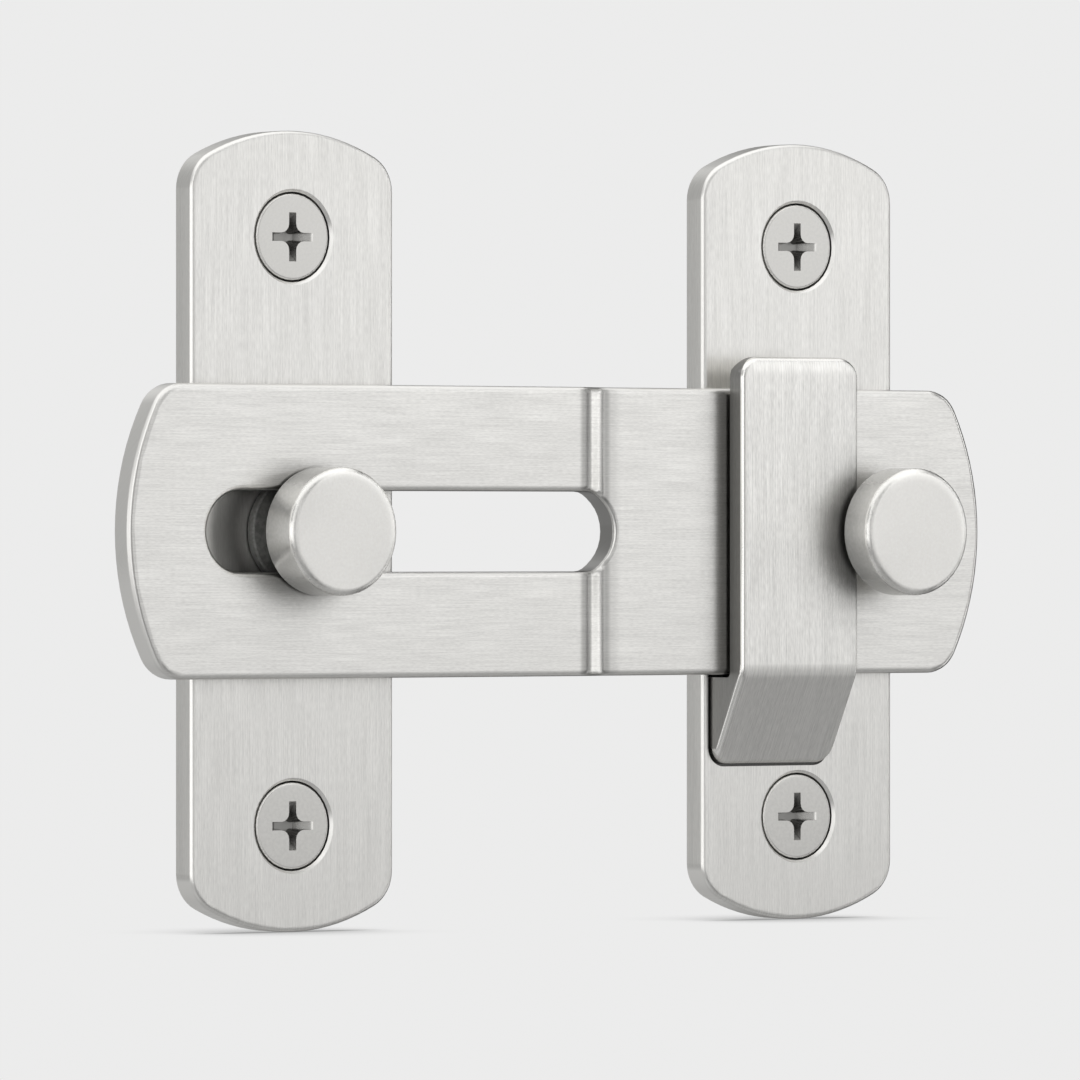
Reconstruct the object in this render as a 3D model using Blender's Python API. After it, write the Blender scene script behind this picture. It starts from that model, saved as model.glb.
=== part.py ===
"""Flip door latch in brushed stainless steel: a slotted bar turns and slides on a stud and drops into an open hook.

X runs along the bar, +Y goes into the door, +Z is up. The origin is on the stud's axis, in the plane of the
backs of both plates. The bar is shown closed, lying in the hook.
"""

import math

import bmesh
import bpy
from mathutils import Vector

MM = 0.001

# The two plates, alike in outline
PLATE_HEIGHT = 80.0 * MM
PLATE_WIDTH = 24.3 * MM
PLATE_THICKNESS = 3.0 * MM
PLATE_END_RADIUS = 22.0 * MM
PLATE_CORNER_RADIUS = 4.0 * MM
PLATE_FRONT_ROUND = 0.5 * MM
PLATE_BACK_ROUND = 0.2 * MM
PLATE_SPACING = 62.8 * MM  # from the stud's axis to the centre line of the keeper plate

# Clearances
SEAT_GAP = 0.15 * MM  # between faces that rest on each other
RUN_GAP = 0.3 * MM  # between faces that pass each other
BORE_GAP = 0.15 * MM  # on the radius, around a shank in its hole

# Countersunk wood screws
SCREW_SPACING = 58.8 * MM
SCREW_HEAD_DIAMETER = 8.7 * MM
SCREW_HEAD_SUNK = 0.15 * MM  # the head's face below the plate's face
SCREW_HEAD_RIM = 0.45 * MM
SCREW_HEAD_EDGE = 0.28 * MM
SCREW_CORE_DIAMETER = 3.2 * MM
SCREW_LENGTH = 16.0 * MM
SCREW_TIP_LENGTH = 4.0 * MM
SCREW_HOLE_GAP = 0.5 * MM  # on the radius, between the core and the plate
SCREW_HEAD_GAP = 0.18 * MM  # on the radius, between the head and the plate
SCREW_HOLE_CHAMFER = 0.28 * MM
CROSS_SPAN = 4.9 * MM
CROSS_ARM_WIDTH = 0.85 * MM
CROSS_INNER_RADIUS = 0.9 * MM
CROSS_DEPTH = 1.7 * MM
CROSS_FLOOR_SHARE = 0.45  # size of the recess at its floor against its mouth

# The bar: a flat sheet, set forward by one sheet bend at its slotted end
BAR_WIDTH = 29.3 * MM
BAR_THICKNESS = 2.8 * MM
BAR_TAIL = 22.2 * MM  # from the stud's axis to the slotted end
BAR_REACH = 84.1 * MM  # from the stud's axis to the free end
BAR_END_RADIUS = 27.5 * MM
BAR_CORNER_RADIUS = 3.8 * MM
BAR_FRONT_ROUND = 0.65 * MM
BAR_BACK_ROUND = 0.25 * MM
BAR_STEP = 1.0 * MM
BEND_PLACE = 34.4 * MM
BEND_LENGTH = 3.6 * MM
SLOT_TAIL = 12.9 * MM  # from the stud's axis to the slot's near end
SLOT_REACH = 37.3 * MM
SLOT_WIDTH = 8.1 * MM
SLOT_FRONT_ROUND = 0.6 * MM

# The stud with its knob head, and the flanged bush that turns on it
STUD_HEAD_DIAMETER = 12.8 * MM
STUD_HEAD_HEIGHT = 4.9 * MM
STUD_SHANK_DIAMETER = 4.8 * MM
KNOB_FACE_ROUND = 0.75 * MM
KNOB_BACK_ROUND = 0.3 * MM
TAIL_FLARE = 1.1 * MM  # how far its riveted tail spreads, and how deep
BUSH_WALL = 1.15 * MM
BUSH_FLANGE_DIAMETER = 11.2 * MM

# The grip knob near the bar's free end
KNOB_PLACE = 70.5 * MM
KNOB_DIAMETER = 13.1 * MM
KNOB_HEIGHT = 4.3 * MM
KNOB_NECK_DIAMETER = 3.5 * MM
KNOB_TENON_DIAMETER = 2.7 * MM
KNOB_TAIL_FLARE = 0.7 * MM
KNOB_OVER_HOOK = 0.5 * MM  # between the back of its head and the hook's face

# The hook on the keeper plate, open at the top
HOOK_LEFT = 51.55 * MM
HOOK_WIDTH = 14.85 * MM
HOOK_WALL = 2.3 * MM
HOOK_TOP = 17.9 * MM
HOOK_BEND = 14.4 * MM  # below the stud's axis, where the front face turns back
HOOK_FOOT = 23.85 * MM  # below the stud's axis, where it ends on the plate
HOOK_FOOT_EDGE = 0.7 * MM  # how far the foot's lower edge stands in front of the plate
HOOK_BEND_RADIUS = 3.5 * MM
HOOK_TOP_CORNER = 2.2 * MM
HOOK_FOOT_CORNER = 1.7 * MM
HOOK_EDGE_ROUND = 0.55 * MM
HOOK_LIP_HEIGHT = 2.0 * MM  # the topmost stretch of its face, which rolls back a little
HOOK_LIP_RADIUS = 8.0 * MM
HOOK_LEAD_IN = 0.9 * MM
HOOK_SEAT_RADIUS = 0.5 * MM
POCKET_DEPTH = 0.4 * MM  # the shallow pocket in the keeper plate that the hook's foot sits in
POCKET_GAP = 0.28 * MM
TENON_DIAMETER = 3.0 * MM
TENON_SPACING = 8.0 * MM
TENON_FLARE = 0.7 * MM

ARC_STEPS = 8
END_STEPS = 18
ROUND_STEPS = 3
KNOB_SIDES = 64
SCREW_SIDES = 36
SMALL_SIDES = 32
OVERSHOOT = 2.0 * MM  # how far a cutter runs past what it cuts

# Planes that follow from the sizes above, all measured along Y
plate_front = -PLATE_THICKNESS
bar_back = plate_front - RUN_GAP
bar_front = bar_back - BAR_THICKNESS
raised_back = bar_back - BAR_STEP
raised_front = bar_front - BAR_STEP
stud_head_back = raised_front - RUN_GAP
hook_inner = bar_front - RUN_GAP
hook_front = hook_inner - HOOK_WALL
knob_head_back = hook_front - KNOB_OVER_HOOK


def clear_scene():
    for obj in list(bpy.data.objects):
        bpy.data.objects.remove(obj, do_unlink=True)


def steel(name, colour, roughness, metallic=1.0):
    """A Principled material of one colour."""
    material = bpy.data.materials.new(name)
    material.use_nodes = True
    shader = material.node_tree.nodes["Principled BSDF"]
    shader.inputs["Base Color"].default_value = (*colour, 1.0)
    shader.inputs["Roughness"].default_value = roughness
    shader.inputs["Metallic"].default_value = metallic
    material.diffuse_color = (*colour, 1.0)
    return material


def object_from(bm, name, material=None, parent=None, location=(0.0, 0.0, 0.0)):
    """Turns a bmesh into an object in the scene, shaded smooth over its round stretches."""
    bmesh.ops.recalc_face_normals(bm, faces=bm.faces)
    mesh = bpy.data.meshes.new(name)
    bm.to_mesh(mesh)
    bm.free()
    obj = bpy.data.objects.new(name, mesh)
    bpy.context.scene.collection.objects.link(obj)
    if material:
        mesh.materials.append(material)
    mesh.shade_smooth()
    mesh.set_sharp_from_angle(angle=math.radians(35))
    obj.location = location
    obj.parent = parent
    return obj


def hide_cutter(obj):
    obj.hide_render = True
    obj.display_type = "WIRE"
    return obj


def boolean(target, other, operation="DIFFERENCE"):
    modifier = target.modifiers.new(operation.lower(), "BOOLEAN")
    modifier.operation = operation
    modifier.solver = "EXACT"
    modifier.object = hide_cutter(other)
    return modifier


def apply_modifiers(obj):
    """Replaces the object's mesh by what its modifiers make of it."""
    graph = bpy.context.evaluated_depsgraph_get()
    mesh = bpy.data.meshes.new_from_object(obj.evaluated_get(graph))
    obj.modifiers.clear()
    obj.data = mesh


def empty(name, location=(0.0, 0.0, 0.0), parent=None):
    obj = bpy.data.objects.new(name, None)
    bpy.context.scene.collection.objects.link(obj)
    obj.empty_display_size = 10.0 * MM
    obj.location = location
    obj.parent = parent
    return obj


def arc(centre, radius, start, end, steps=ARC_STEPS):
    """Points of an arc in a plane, from one angle to another in degrees, both ends included."""
    points = []
    for i in range(steps + 1):
        angle = math.radians(start + (end - start) * i / steps)
        points.append((centre[0] + radius * math.cos(angle), centre[1] + radius * math.sin(angle)))
    return points


def rounded_end(tip, half_width, end_radius, corner_radius):
    """The end of a strip that runs along the first axis: a shallow arc between two rounded corners."""
    end_centre = tip - end_radius
    inset = half_width - corner_radius
    corner_centre = end_centre + math.sqrt((end_radius - corner_radius) ** 2 - inset**2)
    turn = math.degrees(math.atan2(inset, corner_centre - end_centre))
    points = arc((corner_centre, -inset), corner_radius, -90.0, -turn)
    points += arc((end_centre, 0.0), end_radius, -turn, turn, END_STEPS)[1:-1]
    points += arc((corner_centre, inset), corner_radius, turn, 90.0)
    return points


def strip_outline(tail, reach, half_width, end_radius, corner_radius):
    """A strip along the first axis with a rounded end on each side, counterclockwise from its lower right."""
    right = rounded_end(reach, half_width, end_radius, corner_radius)
    left = [(-u, -v) for u, v in rounded_end(tail, half_width, end_radius, corner_radius)]
    return right + left


def add_ring(bm, points, height):
    return [bm.verts.new((x, height, z)) for x, z in points]


def prism(points, back, front):
    """A solid with an outline in X and Z, from its back plane to its front plane along Y."""
    bm = bmesh.new()
    rings = [add_ring(bm, points, back), add_ring(bm, points, front)]
    bm.faces.new(rings[0])
    bm.faces.new(reversed(rings[1]))
    for i in range(len(points)):
        j = (i + 1) % len(points)
        bm.faces.new((rings[0][j], rings[0][i], rings[1][i], rings[1][j]))
    return bm


def round_rim(bm, plane, width, wanted=lambda vert: True):
    """Rounds the edges between the flat face in a plane across Y and the walls around it."""
    bmesh.ops.recalc_face_normals(bm, faces=bm.faces)
    rim = []
    for edge in bm.edges:
        in_plane = all(abs(vert.co.y - plane) < 0.01 * MM and wanted(vert) for vert in edge.verts)
        if in_plane and any(abs(face.normal.y) < 0.5 for face in edge.link_faces):
            rim.append(edge)
    bmesh.ops.bevel(
        bm, geom=rim, offset=width, offset_type="OFFSET", segments=ROUND_STEPS, profile=0.5, affect="EDGES"
    )


def revolve(profile, sides):
    """A solid turned about the Y axis from (radius, y) points, front to back, that start and end on the axis."""
    bm = bmesh.new()
    rings = []
    for radius, y in profile:
        if radius < 1e-9:
            rings.append([bm.verts.new((0.0, y, 0.0))])
            continue
        ring = []
        for i in range(sides):
            angle = 2.0 * math.pi * i / sides
            ring.append(bm.verts.new((radius * math.cos(angle), y, radius * math.sin(angle))))
        rings.append(ring)
    for first, second in zip(rings, rings[1:]):
        join_rings(bm, first, second, sides)
    return bm


def join_rings(bm, first, second, sides):
    for i in range(sides):
        j = (i + 1) % sides
        if len(first) == 1:
            bm.faces.new((first[0], second[i], second[j]))
        elif len(second) == 1:
            bm.faces.new((first[j], first[i], second[0]))
        else:
            bm.faces.new((first[j], first[i], second[i], second[j]))


def revolve_ring(profile, sides):
    """A ring turned about the Y axis from a closed loop of (radius, y) points off the axis."""
    bm = bmesh.new()
    rings = []
    for radius, y in profile:
        ring = []
        for i in range(sides):
            angle = 2.0 * math.pi * i / sides
            ring.append(bm.verts.new((radius * math.cos(angle), y, radius * math.sin(angle))))
        rings.append(ring)
    for first, second in zip(rings, rings[1:] + rings[:1]):
        join_rings(bm, first, second, sides)
    return bm


def knob_head(radius, front, back):
    """Profile of a flat round head from the centre of its face to the foot of its back edge."""
    points = [(0.0, front)]
    points += arc((radius - KNOB_FACE_ROUND, front + KNOB_FACE_ROUND), KNOB_FACE_ROUND, -90.0, 0.0, 5)
    points += arc((radius - KNOB_BACK_ROUND, back - KNOB_BACK_ROUND), KNOB_BACK_ROUND, 0.0, 90.0, 3)
    return points


def riveted_tail(radius, flare, end):
    """Profile of a shank's end that was hammered out into a countersink."""
    return [(radius, end - flare), (radius + flare, end), (0.0, end)]


def rivet_hole(radius, flare, front, back):
    """Cutter for the hole of a riveted shank, countersunk on its back."""
    gap = BORE_GAP
    corner = back - flare - gap
    run_out = back + OVERSHOOT
    spread = radius + gap + (run_out - corner)
    return revolve(
        [
            (0.0, front - OVERSHOOT),
            (radius + gap, front - OVERSHOOT),
            (radius + gap, corner),
            (spread, run_out),
            (0.0, run_out),
        ],
        SMALL_SIDES,
    )


def screw_cone_start():
    """Depth below the plate's face at which the head's cone starts."""
    return SCREW_HEAD_SUNK + SCREW_HEAD_RIM


def countersink_cutter():
    """Cutter for one screw hole, its origin in the plate's face: chamfer, short wall, then a right-angled cone."""
    rim = 0.5 * SCREW_HEAD_DIAMETER + SCREW_HEAD_GAP
    mouth = rim + SCREW_HOLE_CHAMFER + OVERSHOOT
    hole = 0.5 * SCREW_CORE_DIAMETER + SCREW_HOLE_GAP
    cone_end = screw_cone_start() + rim - hole
    return revolve(
        [
            (0.0, -OVERSHOOT),
            (mouth, -OVERSHOOT),
            (rim, SCREW_HOLE_CHAMFER),
            (rim, screw_cone_start()),
            (hole, cone_end),
            (hole, cone_end + PLATE_THICKNESS),
            (0.0, cone_end + PLATE_THICKNESS),
        ],
        SCREW_SIDES,
    )


def cross_outline(scale):
    """A cross with hollowed inner corners, counterclockwise from its right arm."""
    half_span = 0.5 * CROSS_SPAN * scale
    half_arm = 0.5 * CROSS_ARM_WIDTH * (0.5 + 0.5 * scale)
    radius = CROSS_INNER_RADIUS * scale
    arm = [(half_span, -half_arm), (half_span, half_arm)]
    arm += arc((half_arm + radius, half_arm + radius), radius, 270.0, 180.0, 4)
    points = []
    for turn in range(4):
        cosine = round(math.cos(0.5 * math.pi * turn))
        sine = round(math.sin(0.5 * math.pi * turn))
        points += [(u * cosine - v * sine, u * sine + v * cosine) for u, v in arm]
    return points


def cross_cutter():
    """The driver's recess: a cross that narrows towards its floor."""
    bm = bmesh.new()
    slope = (1.0 - CROSS_FLOOR_SHARE) / CROSS_DEPTH
    levels = [(SCREW_HEAD_SUNK - OVERSHOOT, 1.0 + slope * OVERSHOOT), (SCREW_HEAD_SUNK + CROSS_DEPTH, CROSS_FLOOR_SHARE)]
    rings = [add_ring(bm, cross_outline(scale), height) for height, scale in levels]
    bm.faces.new(rings[0])
    bm.faces.new(reversed(rings[1]))
    sides = len(rings[0])
    for i in range(sides):
        j = (i + 1) % sides
        bm.faces.new((rings[0][j], rings[0][i], rings[1][i], rings[1][j]))
    return bm


def make_screw_mesh(material):
    """One screw, its origin on its axis in the plate's face; the others share its mesh."""
    head = 0.5 * SCREW_HEAD_DIAMETER
    core = 0.5 * SCREW_CORE_DIAMETER
    cone = screw_cone_start()
    edge_centre = (head - SCREW_HEAD_EDGE, SCREW_HEAD_SUNK + SCREW_HEAD_EDGE)
    profile = [
        (0.0, SCREW_HEAD_SUNK),
        *arc(edge_centre, SCREW_HEAD_EDGE, -90.0, 0.0, ROUND_STEPS),
        (head, cone),
        (core, cone + head - core),
        (core, SCREW_LENGTH - SCREW_TIP_LENGTH),
        (0.35 * core, SCREW_LENGTH - 0.2 * SCREW_TIP_LENGTH),
        (0.0, SCREW_LENGTH),
    ]
    blank = object_from(revolve(profile, SCREW_SIDES), "screw_blank", material)
    boolean(blank, object_from(cross_cutter(), "cross_cutter"))
    apply_modifiers(blank)
    mesh = blank.data
    mesh.name = "screw"
    mesh.shade_smooth()
    mesh.set_sharp_from_angle(angle=math.radians(35))
    bpy.data.objects.remove(bpy.data.objects["cross_cutter"], do_unlink=True)
    bpy.data.objects.remove(blank, do_unlink=True)
    return mesh


def make_plate(name, centre, material, parent):
    """A flat plate that stands upright, with its two countersunk screw holes."""
    half_height = 0.5 * PLATE_HEIGHT
    outline = strip_outline(half_height, half_height, 0.5 * PLATE_WIDTH, PLATE_END_RADIUS, PLATE_CORNER_RADIUS)
    upright = [(-v, u) for u, v in outline]
    bm = prism(upright, 0.0, plate_front)
    round_rim(bm, plate_front, PLATE_FRONT_ROUND)
    round_rim(bm, 0.0, PLATE_BACK_ROUND)
    plate = object_from(bm, name, material, parent, (centre, 0.0, 0.0))
    for side in (1, -1):
        cutter = object_from(countersink_cutter(), f"{name}_countersink_{'top' if side > 0 else 'bottom'}")
        cutter.parent = plate
        cutter.location = (0.0, plate_front, side * 0.5 * SCREW_SPACING)
        boolean(plate, cutter)
    return plate


def make_screws(plate_name, centre, mesh, parent):
    for place, side in (("top", 1), ("bottom", -1)):
        screw = bpy.data.objects.new(f"screw_{plate_name}_{place}", mesh)
        bpy.context.scene.collection.objects.link(screw)
        screw.parent = parent
        screw.location = (centre, plate_front, side * 0.5 * SCREW_SPACING)


def slot_outline():
    """The slot, with round ends, in the same order as the bar's outline."""
    radius = 0.5 * SLOT_WIDTH
    right = arc((SLOT_REACH - radius, 0.0), radius, -90.0, 90.0, 2 * ARC_STEPS)
    left = arc((radius - SLOT_TAIL, 0.0), radius, 90.0, 270.0, 2 * ARC_STEPS)
    return right + left


def sheet_offset(x):
    """How far forward the sheet stands at a place along it, with a smooth bend between its two levels."""
    share = (BEND_PLACE + 0.5 * BEND_LENGTH - x) / BEND_LENGTH
    share = min(max(share, 0.0), 1.0)
    return BAR_STEP * share * share * (3.0 - 2.0 * share)


def split_at_tips(points):
    """The upper and the lower half of a closed outline, each from its right tip or left tip round to the other."""
    right = min(range(len(points)), key=lambda i: (abs(points[i][1]) > 1e-6, -points[i][0]))
    turned = points[right:] + points[:right]
    left = min(range(len(turned)), key=lambda i: (abs(turned[i][1]) > 1e-6, turned[i][0]))
    return turned[: left + 1], turned[left:] + turned[:1]


def slotted_sheet(outline, hole, back, front):
    """A flat sheet with one hole in it, each face as an upper and a lower half around the hole."""
    bm = bmesh.new()
    made = {}

    def vert(point, height):
        key = (round(point[0], 9), height, round(point[1], 9))
        if key not in made:
            made[key] = bm.verts.new((point[0], height, point[1]))
        return made[key]

    for outer, inner in zip(split_at_tips(outline), split_at_tips(hole)):
        loop = outer + inner[::-1]
        bm.faces.new([vert(point, back) for point in loop])
        bm.faces.new([vert(point, front) for point in reversed(loop)])
    for points in (outline, hole):
        for first, second in zip(points, points[1:] + points[:1]):
            bm.faces.new((vert(second, back), vert(first, back), vert(first, front), vert(second, front)))
    return bm


def on_slot(vert):
    """Whether a point of the sheet is on the slot's wall rather than on its outline."""
    past_end = 0.5 * (BAR_TAIL - SLOT_TAIL)
    return -SLOT_TAIL - past_end < vert.co.x < SLOT_REACH + past_end and abs(vert.co.z) < 0.5 * SLOT_WIDTH + past_end


def make_bar(material, parent):
    """The bar: a slotted sheet with rounded ends, bent forward towards its slotted end."""
    outline = strip_outline(BAR_TAIL, BAR_REACH, 0.5 * BAR_WIDTH, BAR_END_RADIUS, BAR_CORNER_RADIUS)
    bm = slotted_sheet(outline, slot_outline(), bar_back, bar_front)
    round_rim(bm, bar_front, BAR_FRONT_ROUND, lambda vert: not on_slot(vert))
    round_rim(bm, bar_front, SLOT_FRONT_ROUND, on_slot)
    round_rim(bm, bar_back, BAR_BACK_ROUND)
    bend_start = BEND_PLACE - 0.5 * BEND_LENGTH
    bend_steps = 10
    for i in range(bend_steps + 1):
        place = (bend_start + BEND_LENGTH * i / bend_steps, 0.0, 0.0)
        bmesh.ops.bisect_plane(
            bm, geom=bm.verts[:] + bm.edges[:] + bm.faces[:], dist=1e-7, plane_co=place, plane_no=(1.0, 0.0, 0.0)
        )
    for vert in bm.verts:
        vert.co.y -= sheet_offset(vert.co.x)
    bar = object_from(bm, "latch_bar", material, parent)
    hole = rivet_hole(0.5 * KNOB_TENON_DIAMETER, KNOB_TAIL_FLARE, bar_front, bar_back)
    cutter = object_from(hole, "bar_knob_hole", None, parent, (KNOB_PLACE, 0.0, 0.0))
    boolean(bar, cutter)
    return bar


def make_stud(material, parent):
    """The stud that the bar turns on: a knob head, a plain shank, and a tail riveted in the slide plate."""
    radius = 0.5 * STUD_SHANK_DIAMETER
    profile = knob_head(0.5 * STUD_HEAD_DIAMETER, stud_head_back - STUD_HEAD_HEIGHT, stud_head_back)
    profile.append((radius, stud_head_back))
    profile += riveted_tail(radius, TAIL_FLARE, 0.0)
    return object_from(revolve(profile, KNOB_SIDES), "pivot_stud", material, parent)


def make_bush(material, parent):
    """The flanged bush: its flange spaces the bar off the plate, its barrel fills the slot's width."""
    bore = 0.5 * STUD_SHANK_DIAMETER + BORE_GAP
    barrel = bore + BUSH_WALL
    flange = 0.5 * BUSH_FLANGE_DIAMETER
    foot = plate_front - SEAT_GAP
    shoulder = raised_back + SEAT_GAP
    top = stud_head_back + SEAT_GAP
    edge = 0.15 * MM
    loop = [
        (bore, top),
        (barrel - edge, top),
        (barrel, top + edge),
        (barrel, shoulder),
        (flange - edge, shoulder),
        (flange, shoulder + edge),
        (flange, foot),
        (bore, foot),
    ]
    return object_from(revolve_ring(loop, KNOB_SIDES), "pivot_bush", material, parent)


def make_bar_knob(material, parent):
    """The grip knob: its head stands in front of the hook, its tenon is riveted in the bar."""
    neck = 0.5 * KNOB_NECK_DIAMETER
    tenon = 0.5 * KNOB_TENON_DIAMETER
    shoulder = bar_front - SEAT_GAP
    profile = knob_head(0.5 * KNOB_DIAMETER, knob_head_back - KNOB_HEIGHT, knob_head_back)
    profile += [(neck, knob_head_back), (neck, shoulder), (tenon, shoulder)]
    profile += riveted_tail(tenon, KNOB_TAIL_FLARE, bar_back)
    return object_from(revolve(profile, KNOB_SIDES), "bar_knob", material, parent, (KNOB_PLACE, 0.0, 0.0))


def hook_section():
    """Section of the hook as (y, z) points: foot, slanted front, front wall, and the channel behind it."""
    base = plate_front + POCKET_DEPTH - SEAT_GAP
    edge_front = plate_front - HOOK_FOOT_EDGE
    seat = -(0.5 * BAR_WIDTH + RUN_GAP)
    rise = HOOK_FOOT - HOOK_BEND
    depth = edge_front - hook_front
    slant = math.degrees(math.atan2(depth, rise))
    run = HOOK_BEND_RADIUS * math.tan(math.radians(0.5 * slant))
    bend_centre = (hook_front + HOOK_BEND_RADIUS, -HOOK_BEND + run)
    slope = depth / rise
    low = -HOOK_FOOT - (base - edge_front) / slope
    points = [(base, low)]
    points += arc(bend_centre, HOOK_BEND_RADIUS, 180.0 + slant, 180.0, 6)
    points += [(hook_front, HOOK_TOP + OVERSHOOT), (hook_inner - HOOK_LEAD_IN, HOOK_TOP + OVERSHOOT)]
    points += [(hook_inner - HOOK_LEAD_IN, HOOK_TOP), (hook_inner, HOOK_TOP - 1.5 * HOOK_LEAD_IN)]
    points += arc((hook_inner + HOOK_SEAT_RADIUS, seat + HOOK_SEAT_RADIUS), HOOK_SEAT_RADIUS, 180.0, 270.0, 4)
    points.append((base, seat))
    return points


def hook_front_view(top, top_corner, grown=0.0):
    """The hook seen from the front, up to a height: a rectangle with rounded corners, as (x, z) points."""
    left = HOOK_LEFT - grown
    right = HOOK_LEFT + HOOK_WIDTH + grown
    low = -HOOK_FOOT - grown
    foot_corner = HOOK_FOOT_CORNER + grown
    points = arc((right - foot_corner, low + foot_corner), foot_corner, -90.0, 0.0)
    if top_corner > 0.0:
        points += arc((right - top_corner, top - top_corner), top_corner, 0.0, 90.0)
        points += arc((left + top_corner, top - top_corner), top_corner, 90.0, 180.0)
    else:
        points += [(right, top), (left, top)]
    points += arc((left + foot_corner, low + foot_corner), foot_corner, 180.0, 270.0)
    return points


def section_prism(section, start, end):
    """A solid with a section in Y and Z, drawn out along X."""
    bm = bmesh.new()
    rings = [[bm.verts.new((x, y, z)) for y, z in section] for x in (start, end)]
    bm.faces.new(rings[0])
    bm.faces.new(reversed(rings[1]))
    for i in range(len(section)):
        j = (i + 1) % len(section)
        bm.faces.new((rings[0][j], rings[0][i], rings[1][i], rings[1][j]))
    return bm


def roll_lip(bm):
    """Rolls the topmost stretch of the hook's front back a little."""
    start = HOOK_TOP - HOOK_LIP_HEIGHT
    cuts = 3
    for i in range(cuts):
        place = (0.0, 0.0, start + (HOOK_LIP_HEIGHT - HOOK_EDGE_ROUND) * i / cuts)
        bmesh.ops.bisect_plane(
            bm, geom=bm.verts[:] + bm.edges[:] + bm.faces[:], dist=1e-7, plane_co=place, plane_no=(0.0, 0.0, 1.0)
        )
    for vert in bm.verts:
        rise = vert.co.z - start
        if rise > 0.0 and vert.co.y < 0.5 * (hook_front + hook_inner):
            vert.co.y += HOOK_LIP_RADIUS - math.sqrt(HOOK_LIP_RADIUS**2 - rise**2)


def round_hook_edges(hook):
    """Rounds the edges between the hook's front and its sides, top and foot, and rolls its lip."""
    bm = bmesh.new()
    bm.from_mesh(hook.data)
    bmesh.ops.dissolve_limit(bm, angle_limit=math.radians(0.5), verts=bm.verts, edges=bm.edges)
    bm.normal_update()
    rim = []
    for edge in bm.edges:
        if len(edge.link_faces) != 2:
            continue
        slopes = sorted(face.normal.y for face in edge.link_faces)
        if slopes[0] < -0.4 and abs(slopes[1]) < 0.1:
            rim.append(edge)
    bmesh.ops.bevel(
        bm,
        geom=rim,
        offset=HOOK_EDGE_ROUND,
        offset_type="OFFSET",
        segments=ROUND_STEPS,
        profile=0.5,
        affect="EDGES",
    )
    roll_lip(bm)
    bm.to_mesh(hook.data)
    bm.free()


def tenon_places():
    middle = HOOK_LEFT + 0.5 * HOOK_WIDTH
    height = -0.5 * (HOOK_FOOT + 0.5 * BAR_WIDTH)
    return [(middle - 0.5 * TENON_SPACING, height), (middle + 0.5 * TENON_SPACING, height)]


def make_hook(material, parent):
    """The hook: one solid with its foot on the keeper plate and two tenons riveted through it."""
    left = HOOK_LEFT
    right = HOOK_LEFT + HOOK_WIDTH
    hook = object_from(section_prism(hook_section(), left - OVERSHOOT, right + OVERSHOOT), "catch_hook", material)
    shape = prism(hook_front_view(HOOK_TOP, HOOK_TOP_CORNER), 0.0, hook_front - OVERSHOOT)
    boolean(hook, object_from(shape, "hook_outline"), "INTERSECT")
    apply_modifiers(hook)
    bpy.data.objects.remove(bpy.data.objects["hook_outline"], do_unlink=True)
    round_hook_edges(hook)
    hook.parent = parent
    for number, (x, z) in enumerate(tenon_places(), 1):
        radius = 0.5 * TENON_DIAMETER
        profile = [(0.0, plate_front - HOOK_FOOT_EDGE), (radius, plate_front - HOOK_FOOT_EDGE)]
        profile += riveted_tail(radius, TENON_FLARE, 0.0)
        tenon = object_from(revolve(profile, SMALL_SIDES), f"hook_tenon_{number}", None, parent, (x, 0.0, z))
        boolean(hook, tenon, "UNION")
    return hook


def cut_stud_hole(plate):
    hole = rivet_hole(0.5 * STUD_SHANK_DIAMETER, TAIL_FLARE, plate_front, 0.0)
    cutter = object_from(hole, "stud_hole")
    cutter.parent = plate
    boolean(plate, cutter)


def cut_hook_pocket(plate):
    """The shallow pocket for the hook's foot, up to just above the channel that the bar lies in."""
    top = -0.5 * BAR_WIDTH - RUN_GAP + POCKET_GAP
    outline = hook_front_view(top, 0.0, POCKET_GAP)
    shape = prism(outline, plate_front + POCKET_DEPTH, plate_front - OVERSHOOT)
    cutter = object_from(shape, "hook_pocket")
    cutter.parent = plate
    cutter.location = (-PLATE_SPACING, 0.0, 0.0)
    boolean(plate, cutter)


def cut_tenon_holes(plate):
    for number, (x, z) in enumerate(tenon_places(), 1):
        hole = rivet_hole(0.5 * TENON_DIAMETER, TENON_FLARE, plate_front, 0.0)
        cutter = object_from(hole, f"tenon_hole_{number}")
        cutter.parent = plate
        cutter.location = (x - PLATE_SPACING, 0.0, z)
        boolean(plate, cutter)


def main():
    clear_scene()
    latch = empty("latch")
    flip_axis = empty("flip_axis", parent=latch)
    plate_steel = steel("plate_brushed_steel", (0.74, 0.74, 0.72), 0.34)
    bar_steel = steel("bar_brushed_steel", (0.74, 0.74, 0.72), 0.32)
    hook_steel = steel("hook_brushed_steel", (0.74, 0.74, 0.72), 0.34)
    knob_steel = steel("knob_satin_steel", (0.76, 0.76, 0.74), 0.28)
    screw_steel = steel("screw_satin_steel", (0.72, 0.72, 0.7), 0.3)
    bush_resin = steel("bush_dark_resin", (0.06, 0.06, 0.06), 0.5, metallic=0.0)

    slide_plate = make_plate("slide_plate", 0.0, plate_steel, latch)
    cut_stud_hole(slide_plate)
    keeper_plate = make_plate("keeper_plate", PLATE_SPACING, plate_steel, latch)
    cut_hook_pocket(keeper_plate)
    cut_tenon_holes(keeper_plate)
    screw_mesh = make_screw_mesh(screw_steel)
    make_screws("slide", 0.0, screw_mesh, latch)
    make_screws("keeper", PLATE_SPACING, screw_mesh, latch)
    make_stud(knob_steel, latch)
    make_hook(hook_steel, latch)

    make_bush(bush_resin, flip_axis)
    make_bar(bar_steel, flip_axis)
    make_bar_knob(knob_steel, flip_axis)


main()
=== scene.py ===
import math

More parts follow.
